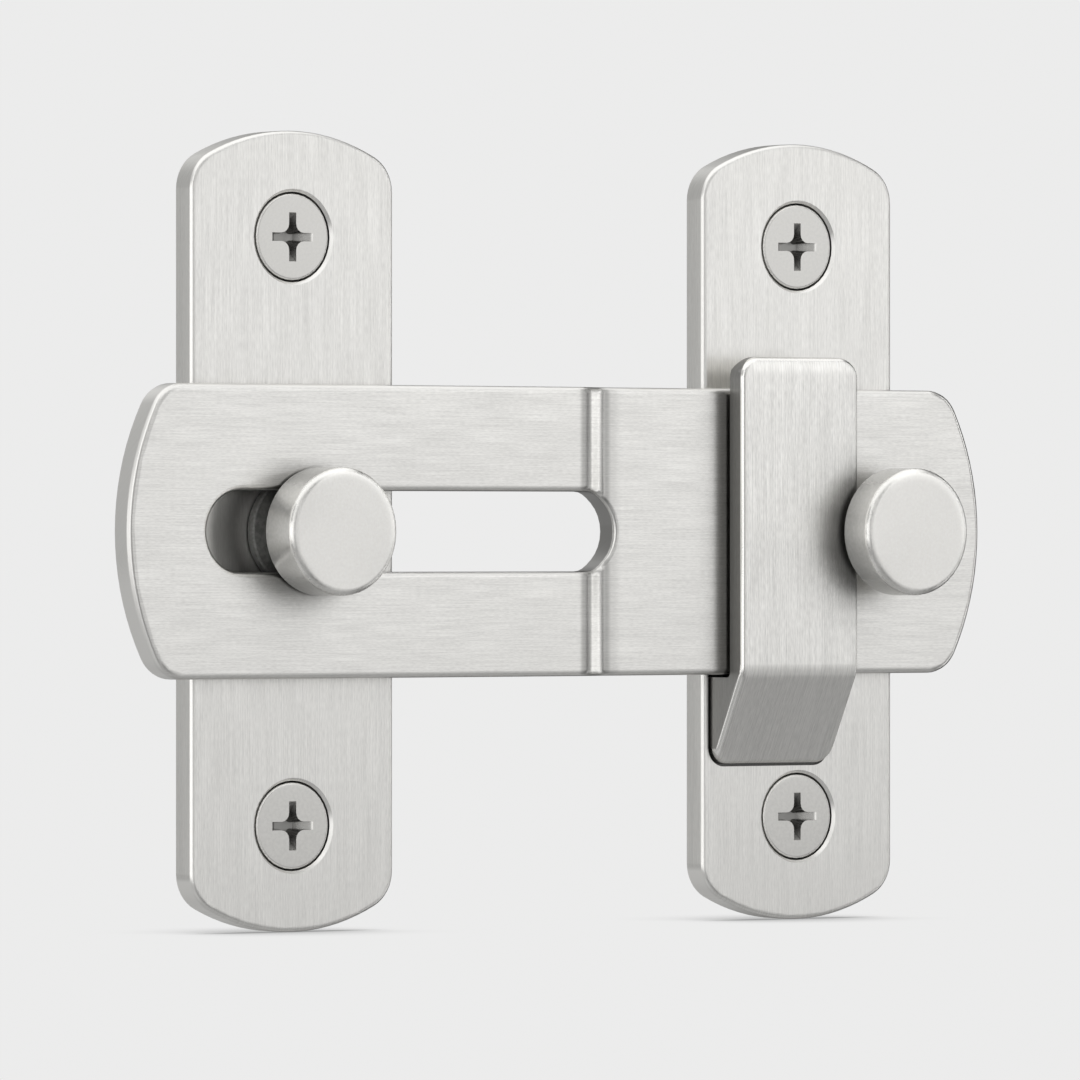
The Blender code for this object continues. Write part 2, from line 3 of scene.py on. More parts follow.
import bmesh
import bpy
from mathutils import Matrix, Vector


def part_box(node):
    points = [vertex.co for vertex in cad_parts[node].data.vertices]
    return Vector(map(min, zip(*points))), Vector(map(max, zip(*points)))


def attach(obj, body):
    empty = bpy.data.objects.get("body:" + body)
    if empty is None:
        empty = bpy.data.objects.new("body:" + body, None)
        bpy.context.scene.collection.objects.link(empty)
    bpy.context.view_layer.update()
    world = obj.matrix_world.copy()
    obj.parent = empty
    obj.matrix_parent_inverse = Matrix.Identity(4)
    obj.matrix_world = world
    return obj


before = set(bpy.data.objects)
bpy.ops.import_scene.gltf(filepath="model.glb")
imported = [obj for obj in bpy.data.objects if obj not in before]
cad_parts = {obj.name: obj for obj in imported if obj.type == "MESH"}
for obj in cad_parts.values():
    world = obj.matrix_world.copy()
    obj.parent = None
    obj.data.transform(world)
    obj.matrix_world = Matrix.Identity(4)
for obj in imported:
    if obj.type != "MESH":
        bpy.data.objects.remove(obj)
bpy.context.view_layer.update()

mm = 0.001
print("frame loaded:", len(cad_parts), "nodes")


# Small helpers for node trees

def addNode(tree, kind, inputs=None, **settings):
    made = tree.nodes.new(kind)
    for name, value in settings.items():
        setattr(made, name, value)
    for name, value in (inputs or {}).items():
        if isinstance(value, bpy.types.NodeSocket):
            tree.links.new(value, made.inputs[name])
        else:
            made.inputs[name].default_value = value
    return made


def maths(tree, operation, *values):
    return addNode(tree, "ShaderNodeMath", dict(enumerate(values)), operation=operation).outputs[0]


def times(tree, *values):
    product = values[0]
    for value in values[1:]:
        product = maths(tree, "MULTIPLY", product, value)
    return product


def ramp(tree, value, low, high, atLow=0.0, atHigh=1.0):  # a smooth step from one value to another
    inputs = {"Value": value, "From Min": low, "From Max": high, "To Min": atLow, "To Max": atHigh}
    return addNode(tree, "ShaderNodeMapRange", inputs, interpolation_type="SMOOTHSTEP").outputs["Result"]


def mixColour(tree, share, first, second):
    made = addNode(tree, "ShaderNodeMix", {"Factor": share}, data_type="RGBA")
    for index, value in ((6, first), (7, second)):  # its colour sockets share their names with others
        if isinstance(value, bpy.types.NodeSocket):
            tree.links.new(value, made.inputs[index])
        else:
            made.inputs[index].default_value = (*value, 1.0)
    return made.outputs[2]


def scaled(tree, colour, factor):
    made = addNode(tree, "ShaderNodeVectorMath", {0: colour}, operation="SCALE")
    tree.links.new(factor, made.inputs["Scale"])
    return made.outputs[0]


def newMaterial(name):
    material = bpy.data.materials.new(name)
    material.use_nodes = True
    tree = material.node_tree
    return material, tree, tree.nodes["Principled BSDF"]


def objectDirection(tree, x, y, z):  # a direction that turns with the piece
    fixed = addNode(tree, "ShaderNodeCombineXYZ", {"X": x, "Y": y, "Z": z})
    turned = addNode(
        tree, "ShaderNodeVectorTransform", {"Vector": fixed.outputs[0]},
        vector_type="VECTOR", convert_from="OBJECT", convert_to="WORLD",
    )
    return turned.outputs[0]


def objectNormal(tree):  # the surface's normal in the piece's own axes
    normal = addNode(tree, "ShaderNodeNewGeometry").outputs["Normal"]
    turned = addNode(
        tree, "ShaderNodeVectorTransform", {"Vector": normal},
        vector_type="NORMAL", convert_from="WORLD", convert_to="OBJECT",
    )
    return addNode(tree, "ShaderNodeSeparateXYZ", {"Vector": turned.outputs[0]}).outputs


def fromAxis(tree, across, up):
    squares = [maths(tree, "POWER", value, 2.0) for value in (across, up)]
    return maths(tree, "SQRT", maths(tree, "ADD", *squares))


def shaded(tree, share, tone):  # 1 where the share is 0, the tone where it is 1
    return ramp(tree, share, 0.0, 1.0, 1.0, tone)


noiseRange = (0.3, 0.7)  # where a noise's values mostly lie


# Soft shades where pieces come close together, by how open the surface is

gapLook = {"samples": 8, "closed": 0.15, "open": 0.75}


def paintedGapShade(tree, reach, darkest):  # painted shade: 1 in the open, darker down in gaps where pieces come close
    near = addNode(tree, "ShaderNodeAmbientOcclusion", {"Distance": reach}, samples=gapLook["samples"])
    return ramp(tree, near.outputs["AO"], gapLook["closed"], gapLook["open"], darkest, 1.0)


leeLook = {
    "lean": (0.62, 0.0, 0.16),  # added to the normal, so that it looks to the upper right
    "samples": 12,
    "open": 0.88,
    "facing": (-0.5, -0.8),
}


def leeShade(tree, normal, look):  # painted shadow: a soft grey on a front face with a knob or wall close on its right
    lean = addNode(tree, "ShaderNodeCombineXYZ", dict(zip("XYZ", leeLook["lean"])))
    surface = addNode(tree, "ShaderNodeNewGeometry").outputs["Normal"]
    leant = addNode(tree, "ShaderNodeVectorMath", {0: surface, 1: lean.outputs[0]}, operation="ADD")
    leant = addNode(tree, "ShaderNodeVectorMath", {0: leant.outputs[0]}, operation="NORMALIZE")
    near = addNode(tree, "ShaderNodeAmbientOcclusion", {
        "Distance": look["leeReach"], "Normal": leant.outputs[0],
    }, samples=leeLook["samples"])
    closed = ramp(tree, near.outputs["AO"], leeLook["open"], look["leeFull"])
    return shaded(tree, times(tree, closed, ramp(tree, normal["Y"], *leeLook["facing"])), look["leeTone"])


# Brushed sheet steel: fine streaks one way, rounds polished by handling, cut edges duller
# In all these finishes a pair tells where a smooth step starts and where it is full

sheetFinish = {
    "colour": (0.80, 0.792, 0.768),
    "edgeColour": (0.63, 0.624, 0.602),
    "roughness": 0.36,
    "edgeRoughness": 0.33,
    "anisotropy": 0.5,
    "faceFrom": (0.78, 0.92),  # by how far the normal looks to the front or back
    "cutBelow": (0.22, 0.08),
    "grainAlong": "Z",
    "grainWidth": 0.10 * mm,
    "grainLength": 0.9 * mm,
    "grainLayers": (  # weight, widths, lengths, detail
        (0.43, 1.0, 1.0, 2.0),
        (0.43, 1.4, 10.0, 2.0),
        (0.14, 14.0, 14.0, 1.0),
    ),
    "grainRange": (0.25, 0.75),
    "grainTone": 0.12,
    "grainRough": 0.06,
    "grainDepth": 0.3,
    "grainHeight": 0.02 * mm,
    "cutGrain": 0.8,
    "gapReach": 0.4 * mm,
    "gapTone": 0.4,
}
plateFinish = {
    **sheetFinish,
    "flatFront": (-0.85, -0.95),
    "pocketDepth": (0.1 * mm, 0.3 * mm),
    # painted shade in the pockets sunk behind the face
    "pocketTone": 0.16,
    "shadeRing": (5.5 * mm, 7.8 * mm, 9.0 * mm, 10.8 * mm),  # radius round the stud of the painted shade ring: from, full, full to, end
    "shadeRingTone": 0.45,
}
hookFinish = {
    **sheetFinish,
    # painted shade: the hook's side walls far darker than a cut edge, partly a duller cut finish
    "edgeColour": (0.29, 0.286, 0.275),
    "edgeRoughness": 0.2,
    "grainTone": 0.18,
    "leeReach": 16.0 * mm,
    "leeFull": 0.4,
    "leeTone": 0.26,
    "lipHighlightDepth": (2.3 * mm, 0.5 * mm),  # depth below the top of the painted highlight: from, full
    "lipTone": 1.17,
}
barFinish = {
    **sheetFinish,
    "colour": (0.78, 0.772, 0.749),
    "grainAlong": "X",
    "grainLength": 0.6 * mm,
    "roughness": 0.33,
    "anisotropy": 0.72,
    "edgeColour": (0.72, 0.713, 0.69),
    "cutGrain": 0.3,
    "leeReach": 7.0 * mm,
    "leeFull": 0.4,
    "leeTone": 0.5,
    "bendFacing": (-0.6, -0.8),
    "bendShadeBands": (  # painted shade bands, in mm along the bar: from, full, full to, end; and the tone
        (31.9, 32.8, 33.1, 33.6, 0.57),
        (33.2, 33.45, 33.55, 34.1, 0.46),
        (35.5, 35.75, 36.1, 37.0, 0.68),
        (35.8, 36.2, 36.4, 38.6, 0.82),
    ),
    "slotReach": (-14.0 * mm, 38.5 * mm, 4.6 * mm),  # left, right, half height
    "slotWalls": (0.5, 0.1),
    "slotTone": 0.37,
}


def paintedPlateShade(tree, xyz, normal, look):  # painted shade in the pockets sunk behind the face, and a painted shade ring round the stud
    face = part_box("slide_plate")[0].y
    front = ramp(tree, normal["Y"], *look["flatFront"])
    sunk = times(tree, ramp(tree, xyz["Y"], *(face + depth for depth in look["pocketDepth"])), front)
    start, full, fullEnd, end = look["shadeRing"]
    radius = fromAxis(tree, xyz["X"], xyz["Z"])
    ring = times(tree, ramp(tree, radius, start, full), ramp(tree, radius, end, fullEnd), front)
    return times(tree, shaded(tree, sunk, look["pocketTone"]), shaded(tree, ring, look["shadeRingTone"]))


def paintedLipHighlight(tree, xyz, facing, look):  # painted highlight along the hook's top lip
    below = maths(tree, "SUBTRACT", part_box("catch_hook")[1].z, xyz["Z"])
    return shaded(tree, times(tree, ramp(tree, below, *look["lipHighlightDepth"]), facing), look["lipTone"])


def paintedBendAndSlotShade(tree, xyz, normal, look):  # painted shade: dark bands along the bend, and darker walls of the slot
    front = ramp(tree, normal["Y"], *look["bendFacing"])
    tones = []
    for start, full, fullEnd, end, dull in look["bendShadeBands"]:
        up = ramp(tree, xyz["X"], start * mm, full * mm)
        down = ramp(tree, xyz["X"], end * mm, fullEnd * mm)
        tones.append(shaded(tree, times(tree, up, down, front), dull))
    left, right, half = look["slotReach"]
    inSlot = times(
        tree,
        maths(tree, "GREATER_THAN", xyz["X"], left),
        maths(tree, "LESS_THAN", xyz["X"], right),
        maths(tree, "LESS_THAN", maths(tree, "ABSOLUTE", xyz["Z"]), half),
        ramp(tree, maths(tree, "ABSOLUTE", normal["Y"]), *look["slotWalls"]),
    )
    return times(tree, *tones, shaded(tree, inSlot, look["slotTone"]))


def brushedSteel(name, look):
    material, tree, shader = newMaterial(name)
    place = addNode(tree, "ShaderNodeTexCoord").outputs["Object"]
    xyz = addNode(tree, "ShaderNodeSeparateXYZ", {"Vector": place}).outputs
    normal = objectNormal(tree)
    faceShare = fromAxis(tree, normal["Y"], maths(tree, "MINIMUM", normal["Z"], 0.0))
    facing = ramp(tree, faceShare, *look["faceFrom"])  # 1 on faces, 0 over rounds and cut edges
    cutEdge = ramp(tree, faceShare, *look["cutBelow"])  # 1 on cut edges only
    upright = look["grainAlong"] == "Z"
    along, acrossFace = (xyz["Z"], xyz["X"]) if upright else (xyz["X"], xyz["Z"])
    across = maths(tree, "ADD", acrossFace, times(tree, xyz["Y"], cutEdge))
    layers = []
    for weight, widths, lengths, detail in look["grainLayers"]:
        point = addNode(tree, "ShaderNodeCombineXYZ", {
            "X": maths(tree, "DIVIDE", across, look["grainWidth"] * widths),
            "Y": maths(tree, "DIVIDE", along, look["grainLength"] * lengths),
            "Z": cutEdge,
        }).outputs[0]
        noise = addNode(tree, "ShaderNodeTexNoise", {"Vector": point, "Scale": 1.0, "Detail": detail})
        layers.append(times(tree, noise.outputs["Fac"], weight))
    fine, long, broad = layers
    grain = maths(tree, "ADD", maths(tree, "ADD", fine, long), broad)
    share = maths(tree, "MAXIMUM", facing, times(tree, cutEdge, look["cutGrain"]))
    streak = times(tree, ramp(tree, grain, *look["grainRange"], -1.0, 1.0), share)
    tone = maths(tree, "ADD", 1.0, times(tree, streak, look["grainTone"]))
    tone = times(tree, tone, paintedGapShade(tree, look["gapReach"], look["gapTone"]))
    if "shadeRing" in look:
        tone = times(tree, tone, paintedPlateShade(tree, xyz, normal, look))
    if "leeTone" in look:
        tone = times(tree, tone, leeShade(tree, normal, look))
    if "lipHighlightDepth" in look:
        tone = times(tree, tone, paintedLipHighlight(tree, xyz, facing, look))
    if "bendShadeBands" in look:
        tone = times(tree, tone, paintedBendAndSlotShade(tree, xyz, normal, look))
    colour = mixColour(tree, cutEdge, look["colour"], look["edgeColour"])
    tree.links.new(scaled(tree, colour, tone), shader.inputs["Base Color"])
    spread = times(tree, streak, -look["grainRough"])
    polished = ramp(tree, facing, 0.0, 1.0, look["edgeRoughness"], look["roughness"])
    plain = maths(tree, "MAXIMUM", polished, times(tree, cutEdge, look["roughness"]))
    tree.links.new(maths(tree, "ADD", plain, spread), shader.inputs["Roughness"])
    bump = addNode(tree, "ShaderNodeBump", {
        "Strength": times(tree, share, look["grainDepth"]), "Distance": look["grainHeight"], "Height": grain,
    })
    tree.links.new(bump.outputs[0], shader.inputs["Normal"])
    shader.inputs["Metallic"].default_value = 1.0
    shader.inputs["Anisotropic"].default_value = look["anisotropy"]
    tangent = objectDirection(tree, 1.0, 0.0, 0.0) if upright else objectDirection(tree, 0.0, 0.0, 1.0)
    tree.links.new(tangent, shader.inputs["Tangent"])
    return material


# Satin steel of the knobs and screws: a fine even speck, turned sides with faint rings

turnedFinish = {
    "colour": (0.79, 0.782, 0.757),
    "roughness": 0.33,
    "sideRoughness": 0.22,
    "anisotropy": 0.7,
    "faceFrom": (0.15, 0.97),
    "speckSize": 0.35 * mm,
    "speckDetail": 3.0,
    "speckTone": 0.045,
    "speckDepth": 0.08,
    "speckHeight": 0.02 * mm,
    "ringWidth": 0.09 * mm,
    "ringTone": 0.05,
    "gapReach": 0.7 * mm,
    "gapTone": 0.35,
}
knobFinish = {
    **turnedFinish,
    # painted light on the knobs' sides: lightened overall, their tops and bottoms darker
    "sideBelow": (0.3, 0.0),
    "sideTone": 1.17,
    "sideEnds": (0.6, 0.92),  # where the sides' top and bottom start, by how far they look up or down
    "sideEndTone": 0.62,  # times the tone above
    "sideMetal": 0.7,
    "metalFrom": 0.5,  # wholly metal where the knob looks this far to the front
    "rimFacing": (-0.5, -0.9),
    "rimToward": (0.6, 0.8),  # right and up
    "rimReach": (-0.5 * mm, 4.5 * mm),
    "rimHighlightRadius": (4.9 * mm, 6.1 * mm),  # distance from the knob's axis of the painted highlight: from, full
    "rimTone": 1.2,
}
screwFinish = {
    **turnedFinish,
    "colour": (0.64, 0.632, 0.61),
    "anisotropy": 0.0,
    "gapReach": 0.1 * mm,
    "gapTone": 0.6,
    "headDepth": (2.0 * mm, 1.9 * mm),
    "recessRadius": (2.65 * mm, 2.55 * mm),
    "recessDepth": (0.02 * mm, 0.3 * mm),
    # painted shade in the driver's recess
    "recessTone": 0.5,
    "armEnds": (0.9 * mm, 2.3 * mm),
    "armDull": (0.15, 0.8),  # in the middle, and at the ends of the upright arms
    "chamferFrom": (3.5 * mm, 3.7 * mm),
    "chamferFacing": ((-0.95, -0.85), (-0.3, -0.5)),
    # painted highlight on the head's chamfer
    "chamferTone": 1.5,
    "chamferDull": 0.6,
}


def knobShade(tree, xyz, normal, facing, look):  # painted light: sides lightened with darker tops and bottoms, and a painted highlight on the rims' upper right
    ends = ramp(tree, maths(tree, "ABSOLUTE", normal["Z"]), *look["sideEnds"], 1.0, look["sideEndTone"])
    change = maths(tree, "SUBTRACT", times(tree, ends, look["sideTone"]), 1.0)
    side = maths(tree, "ADD", 1.0, times(tree, change, ramp(tree, facing, *look["sideBelow"])))
    low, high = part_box("bar_knob")
    reach = 0.5 * (low.x + high.x)  # from the stud's axis to the grip knob's
    across = maths(tree, "WRAP", xyz["X"], 0.5 * reach, -0.5 * reach)
    radius = fromAxis(tree, across, xyz["Z"])
    right, up = look["rimToward"]
    toward = maths(tree, "ADD", times(tree, across, right), times(tree, xyz["Z"], up))
    rim = times(
        tree,
        ramp(tree, radius, *look["rimHighlightRadius"]),
        ramp(tree, toward, *look["rimReach"]),
        ramp(tree, normal["Y"], *look["rimFacing"]),
    )
    return times(tree, shaded(tree, rim, look["rimTone"]), side)


def recessShade(tree, xyz, normal, look):  # painted shade in the driver's recess and a painted highlight on the head's chamfer, and how far recess and chamfer are less metal
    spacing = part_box("keeper_plate")[0].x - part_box("slide_plate")[0].x
    low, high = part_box("screw_slide_top")
    acrossHead = maths(tree, "WRAP", xyz["X"], 0.5 * spacing, -0.5 * spacing)
    upHead = maths(tree, "SUBTRACT", maths(tree, "ABSOLUTE", xyz["Z"]), 0.5 * (low.z + high.z))
    radius = fromAxis(tree, acrossHead, upHead)
    inHead = ramp(tree, xyz["Y"], *(low.y + depth for depth in look["headDepth"]))
    below = ramp(tree, xyz["Y"], *(low.y + depth for depth in look["recessDepth"]))
    sunk = times(tree, ramp(tree, radius, *look["recessRadius"]), below, inHead)
    slanted = [ramp(tree, normal["Y"], *limits) for limits in look["chamferFacing"]]
    chamfer = times(tree, ramp(tree, radius, *look["chamferFrom"]), *slanted, inHead)
    arms = ramp(tree, maths(tree, "ABSOLUTE", upHead), *look["armEnds"], *look["armDull"])
    tone = times(tree, shaded(tree, sunk, look["recessTone"]), shaded(tree, chamfer, look["chamferTone"]))
    return tone, maths(tree, "MAXIMUM", times(tree, sunk, arms), times(tree, chamfer, look["chamferDull"]))


def satinSteel(name, look):
    material, tree, shader = newMaterial(name)
    place = addNode(tree, "ShaderNodeTexCoord").outputs["Object"]
    xyz = addNode(tree, "ShaderNodeSeparateXYZ", {"Vector": place}).outputs
    normal = objectNormal(tree)
    facing = ramp(tree, maths(tree, "ABSOLUTE", normal["Y"]), *look["faceFrom"])
    speck = addNode(tree, "ShaderNodeTexNoise", {
        "Vector": place, "Scale": 1.0 / look["speckSize"], "Detail": look["speckDetail"],
    }).outputs["Fac"]
    ringPoint = addNode(tree, "ShaderNodeCombineXYZ", {"X": maths(tree, "DIVIDE", xyz["Y"], look["ringWidth"])})
    ring = addNode(tree, "ShaderNodeTexNoise", {"Vector": ringPoint.outputs[0], "Scale": 1.0}).outputs["Fac"]
    speckTone = ramp(tree, speck, *noiseRange, -look["speckTone"], look["speckTone"])
    ringTone = ramp(tree, ring, *noiseRange, -look["ringTone"], look["ringTone"])
    ringTone = times(tree, ringTone, maths(tree, "SUBTRACT", 1.0, facing))
    tone = maths(tree, "ADD", 1.0, maths(tree, "ADD", speckTone, ringTone))
    tone = times(tree, tone, paintedGapShade(tree, look["gapReach"], look["gapTone"]))
    shader.inputs["Metallic"].default_value = 1.0
    if "recessTone" in look:
        shade, dull = recessShade(tree, xyz, normal, look)
        metal = maths(tree, "SUBTRACT", 1.0, dull)
    else:
        shade = knobShade(tree, xyz, normal, facing, look)
        metal = ramp(tree, facing, 0.0, look["metalFrom"], look["sideMetal"], 1.0)
    tree.links.new(metal, shader.inputs["Metallic"])
    tree.links.new(scaled(tree, look["colour"], times(tree, tone, shade)), shader.inputs["Base Color"])
    rough = ramp(tree, facing, 0.0, 1.0, look["sideRoughness"], look["roughness"])
    tree.links.new(maths(tree, "ADD", rough, speckTone), shader.inputs["Roughness"])
    bump = addNode(tree, "ShaderNodeBump", {
        "Strength": look["speckDepth"], "Distance": look["speckHeight"], "Height": speck,
    })
    tree.links.new(bump.outputs[0], shader.inputs["Normal"])
    shader.inputs["Anisotropic"].default_value = look["anisotropy"]
    tree.links.new(objectDirection(tree, 0.0, 1.0, 0.0), shader.inputs["Tangent"])
    return material


# The bush: dark moulded resin, matt, with a faint mottle

bushFinish = {
    "colour": (0.21, 0.21, 0.2),
    "mottle": 0.2,
    "mottleSize": 0.4 * mm,
    "mottleDetail": 2.0,
    "mottleRough": 0.08,
    "mottleDepth": 0.2,
    "mottleHeight": 0.03 * mm,
    "roughness": 0.5,
    # painted shade deep in the gaps round the flange
    "gapReach": 2.5 * mm,
    "gapTone": 0.08,
}


def mouldedResin(name, look):
    material, tree, shader = newMaterial(name)
    place = addNode(tree, "ShaderNodeTexCoord").outputs["Object"]
    mottle = addNode(tree, "ShaderNodeTexNoise", {
        "Vector": place, "Scale": 1.0 / look["mottleSize"], "Detail": look["mottleDetail"],
    }).outputs["Fac"]
    tone = ramp(tree, mottle, *noiseRange, 1.0 - look["mottle"], 1.0 + look["mottle"])
    tone = times(tree, tone, paintedGapShade(tree, look["gapReach"], look["gapTone"]))
    tree.links.new(scaled(tree, look["colour"], tone), shader.inputs["Base Color"])
    smoothest, roughest = (look["roughness"] + sign * look["mottleRough"] for sign in (-1, 1))
    tree.links.new(ramp(tree, mottle, *noiseRange, smoothest, roughest), shader.inputs["Roughness"])
    bump = addNode(tree, "ShaderNodeBump", {
        "Strength": look["mottleDepth"], "Distance": look["mottleHeight"], "Height": mottle,
    })
    tree.links.new(bump.outputs[0], shader.inputs["Normal"])
    return material


# Shading of the CAD nodes: corners joined, rounds smooth, creases and flat faces kept

shading = {"joinWithin": 0.001 * mm, "sharpAngle": 35.0, "faceWeight": 50}


def makeSmoothing():
    group = bpy.data.node_groups.new("smoothRounds", "GeometryNodeTree")
    group.interface.new_socket("Geometry", in_out="INPUT", socket_type="NodeSocketGeometry")
    group.interface.new_socket("Geometry", in_out="OUTPUT", socket_type="NodeSocketGeometry")
    start = group.nodes.new("NodeGroupInput")
    joined = addNode(group, "GeometryNodeMergeByDistance", {
        "Geometry": start.outputs[0], "Distance": shading["joinWithin"],
    })
    smooth = addNode(group, "GeometryNodeSetShadeSmooth", {"Geometry": joined.outputs[0], "Shade Smooth": True})
    angle = addNode(group, "GeometryNodeInputMeshEdgeAngle").outputs["Unsigned Angle"]
    crease = addNode(group, "FunctionNodeCompare", {0: angle, 1: math.radians(shading["sharpAngle"])})
    sharp = addNode(group, "GeometryNodeSetShadeSmooth", {
        "Geometry": smooth.outputs[0], "Selection": crease.outputs[0], "Shade Smooth": False,
    }, domain="EDGE")
    end = group.nodes.new("NodeGroupOutput")
    group.links.new(sharp.outputs[0], end.inputs[0])
    return group


def finishNode(node, material, smoothing):
    for slot in node.material_slots:
        slot.material = material
    node.modifiers.new("smoothRounds", "NODES").node_group = smoothing
    weighted = node.modifiers.new("flatFaces", "WEIGHTED_NORMAL")
    weighted.mode = "FACE_AREA_WITH_ANGLE"
    weighted.weight = shading["faceWeight"]
    weighted.keep_sharp = True


def dressNodes():
    smoothing = makeSmoothing()
    plateSteel = brushedSteel("brushedPlateSteel", plateFinish)
    knobSteel = satinSteel("satinKnobSteel", knobFinish)
    screwSteel = satinSteel("satinScrewSteel", screwFinish)
    dress = {
        "slide_plate": plateSteel,
        "keeper_plate": plateSteel,
        "catch_hook": brushedSteel("brushedHookSteel", hookFinish),
        "latch_bar": brushedSteel("brushedBarSteel", barFinish),
        "bar_knob": knobSteel,
        "pivot_stud": knobSteel,
        "pivot_bush": mouldedResin("darkBushResin", bushFinish),
    }
    for name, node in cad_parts.items():
        finishNode(node, dress.get(name, screwSteel), smoothing)
    return screwSteel


# Threads of the four wood screws, a tapering helical ridge on each core

thread = {
    "coreRadius": 1.6 * mm,
    "crestRadius": 2.05 * mm,
    "pitch": 1.75 * mm,
    "ridgeWidth": 0.75 * mm,
    "crestShare": 0.08,  # of the ridge's width, flat at its crest
    "sink": 0.05 * mm,  # of the ridge's foot, into the core
    "start": 4.4 * mm,  # behind the plate's front face
    "end": 15.4 * mm,
    "tipFrom": 12.0 * mm,  # where the core starts to taper
    "tipRadius": 0.5 * mm,
    "stepsPerTurn": 24,
    "fadeTurns": 0.8,
    "leastFade": 0.05,
}


def makeThread(name, x, z, plateFace, material):
    look = thread
    length = look["end"] - look["start"]
    turns = length / look["pitch"]
    steps = round(turns * look["stepsPerTurn"])
    bm = bmesh.new()
    last = None
    for i in range(steps + 1):
        turn = i / look["stepsPerTurn"]
        depth = look["start"] + turn * look["pitch"]
        taper = min(1.0, max(0.0, (depth - look["tipFrom"]) / (look["end"] - look["tipFrom"])))
        core = look["coreRadius"] + (look["tipRadius"] - look["coreRadius"]) * taper - look["sink"]
        fade = min(1.0, turn / look["fadeTurns"], (turns - turn) / look["fadeTurns"] + look["leastFade"])
        crest = core + look["sink"] + (look["crestRadius"] - look["coreRadius"]) * max(fade, look["leastFade"])
        half = 0.5 * look["ridgeWidth"]
        flat = look["crestShare"] * half
        angle = 2.0 * math.pi * turn
        section = []
        for radius, shift in ((core, -half), (crest, -flat), (crest, flat), (core, half)):
            place = (x + radius * math.cos(angle), plateFace + depth + shift, z + radius * math.sin(angle))
            section.append(bm.verts.new(place))
        if last:
            for j in range(3):
                bm.faces.new((last[j], section[j], section[j + 1], last[j + 1]))
            bm.faces.new((last[3], section[3], section[0], last[0]))
        else:
            bm.faces.new(section)
        last = section
    bm.faces.new(reversed(last))
    bmesh.ops.recalc_face_normals(bm, faces=bm.faces)
    mesh = bpy.data.meshes.new(name)
    bm.to_mesh(mesh)
    bm.free()
    mesh.materials.append(material)
    piece = bpy.data.objects.new(name, mesh)
    bpy.context.scene.collection.objects.link(piece)
    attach(piece, "root")


def makeThreads(material):
    for plate in ("slide", "keeper"):
        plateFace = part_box(f"{plate}_plate")[0].y
        for place in ("top", "bottom"):
            low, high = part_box(f"screw_{plate}_{place}")
            makeThread(f"thread_{plate}_{place}", 0.5 * (low.x + high.x), 0.5 * (low.z + high.z), plateFace, material)


# Surroundings: one pale colour to the camera, and a studio of soft panels to the metal

backdrop = {"seen": 0.838, "elsewhere": 0.5, "colour": (1.0, 1.0, 0.998, 1.0)}
panels = (  # azimuth from the front, positive to the right, and elevation, in degrees: centre, half width, softness
    {"azimuth": (-32, 12, 4), "elevation": (0, 42, 5), "strength": 0.14},  # the dark side that the camera stands on
    {"azimuth": (-35, 9, 4), "elevation": (0, 7, 4), "strength": 0.4},
    {"azimuth": (-3, 17, 4), "elevation": (0, 15, 5), "strength": 0.9},
    {"azimuth": (4, 14, 4), "elevation": (36, 8, 4), "strength": 0.3},
    {"azimuth": (-23, 9, 4), "elevation": (28, 6, 4), "strength": 1.4},
    {"azimuth": (8, 16, 4), "elevation": (-36, 12, 5), "strength": 0.08},
    {"azimuth": (-22, 6, 4), "elevation": (-27, 4, 4), "strength": 0.9},
    {"azimuth": (-58, 12, 4), "elevation": (12, 30, 5), "strength": 1.5},
    {"azimuth": (-98, 28, 4), "elevation": (0, 13, 4), "strength": 1.5},
    {"azimuth": (-98, 28, 5), "elevation": (26, 10, 4), "strength": 0.6},
    {"azimuth": (-92, 36, 5), "elevation": (-26, 10, 4), "strength": 0.45},
    {"azimuth": (-86, 40, 6), "elevation": (50, 12, 5), "strength": 1.3},
    {"azimuth": (-86, 40, 6), "elevation": (-50, 12, 5), "strength": 0.6},
    {"azimuth": (38, 24, 5), "elevation": (-12, 8, 5), "strength": 0.8},
    {"azimuth": (38, 24, 5), "elevation": (-20, 4, 4), "strength": 0.58},
    {"azimuth": (38, 24, 5), "elevation": (-29, 5, 4), "strength": 0.72},
    {"azimuth": (99, 50, 4), "elevation": (0, 42, 8), "strength": 0.06},
    {"azimuth": (76, 8, 4), "elevation": (0, 34, 8), "strength": 1.6},
    {"azimuth": (180, 22, 8), "elevation": (36, 18, 8), "strength": 0.9},
    {"azimuth": (-145, 22, 8), "elevation": (0, 40, 12), "strength": 0.55},
)
ceiling = {"from": 38, "to": 46, "strength": 1.3}
ground = {"from": -34, "to": -42, "strength": 0.42}


